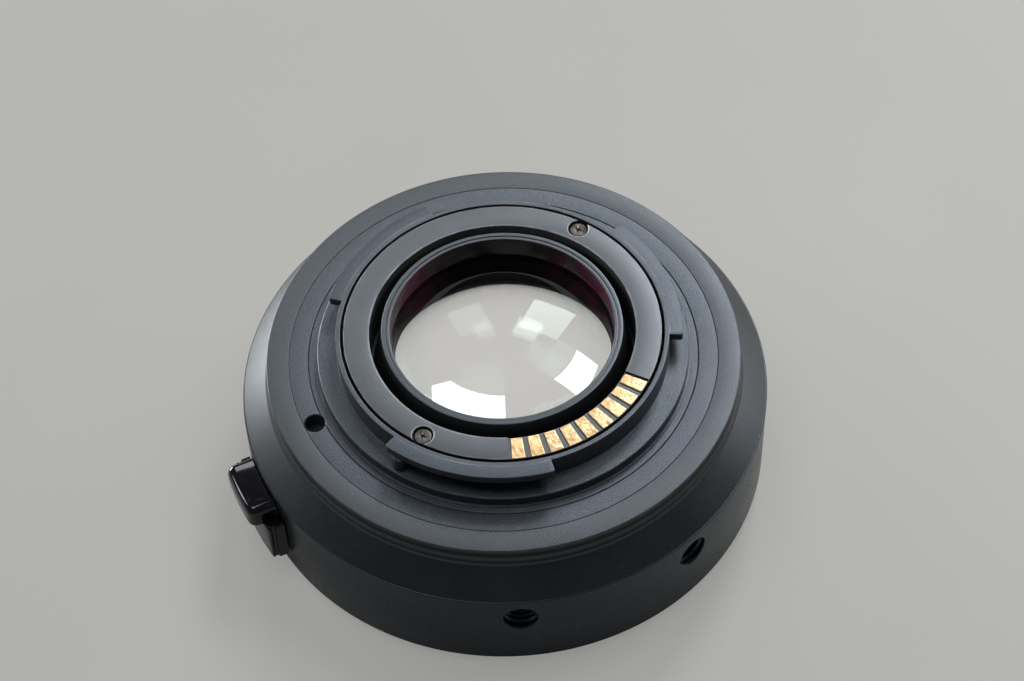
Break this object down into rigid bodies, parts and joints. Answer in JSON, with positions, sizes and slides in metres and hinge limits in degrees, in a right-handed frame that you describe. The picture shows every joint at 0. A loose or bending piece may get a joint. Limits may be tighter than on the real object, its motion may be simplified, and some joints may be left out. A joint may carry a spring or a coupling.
{
  "type": "lens mount adapter",
  "caption": "Round focal-reducing lens mount adapter with bayonets on both ends, electronic contacts, an optical cell and a sprung lens release lever.",
  "frame": {"origin": "optical axis at the lens seat face, which the part also stands on", "axes": "+Z along the optical axis from the lens side to the camera side; angles about +Z from +X as seen from the camera side"},
  "size_m": [0.0718, 0.0698, 0.026],
  "materials": {
    "barrel_black": "smooth black anodised satin",
    "shell_black": "bead-blasted black anodised",
    "mount_black": "fine blasted black anodised",
    "contact_plastic": "fine turned satin black",
    "contact_gold": "gold plated, lightly worn",
    "bright_screw": "plated cross-recess screw",
    "steel_screw": "blackened steel screw",
    "cell_black": "gloss black anodised",
    "coated_glass": "polished, anti-reflection coated",
    "ring_chrome": "satin chrome on brass",
    "spring_steel": "spring steel",
    "liner_plastic": "moulded black plastic",
    "board_green": "solder-masked board",
    "chip_black": "moulded chip package",
    "flex_amber": "polyimide flat cable",
    "lever_gloss": "gloss black moulding",
    "index_red": "red enamel"
  },
  "bodies": {
    "housing": {"lower_barrel": "barrel_black", "camera_index_dot": "index_red", "upper_shell": "shell_black", "shell_screws": "steel_screw", "camera_mount": "mount_black", "camera_mount_screws": "steel_screw", "mount_stop_pin": "mount_black", "camera_contact_ring": "contact_plastic", "camera_contact_pads": "contact_gold", "contact_ring_screws": "bright_screw", "lens_cell": "cell_black", "cell_screws": "steel_screw", "rear_retaining_ring": "cell_black", "rear_element": "coated_glass", "doublet_rear": "coated_glass", "doublet_front": "coated_glass", "lens_spacer": "cell_black", "front_element": "coated_glass", "front_retaining_ring": "cell_black", "lens_mount_ring": "ring_chrome", "lens_mount_screws": "bright_screw", "lens_index_dot": "index_red", "lug_springs": "spring_steel", "inner_liner": "liner_plastic", "liner_screws": "steel_screw", "lens_contact_block": "liner_plastic", "contact_block_screws": "steel_screw", "circuit_board": "board_green", "board_chips": "chip_black", "lens_flex_cable": "flex_amber", "camera_flex_cable": "flex_amber"},
    "release": {"release_lever": "lever_gloss", "lock_pin_carrier": "spring_steel", "carrier_screw": "steel_screw", "lock_pin": "ring_chrome", "release_spring": "spring_steel"},
    "contact_pins": {"lens_contact_pins": "contact_gold", "contact_pin_springs": "spring_steel"}
  },
  "joints": [
    {"name": "release_slide", "type": "slide", "parent": "housing", "child": "release", "axis": [0, 0, 1], "range_m": [-0.0018, 0.0004], "stiffness_N_per_m": 180, "springref_m": -0.0038, "deforming": ["release_spring"]},
    {"name": "contact_pins_press", "type": "slide", "parent": "housing", "child": "contact_pins", "axis": [0, 0, 1], "range_m": [0, 0.0009], "stiffness_N_per_m": 300, "springref_m": -0.0006, "deforming": ["contact_pin_springs"]}
  ]
}
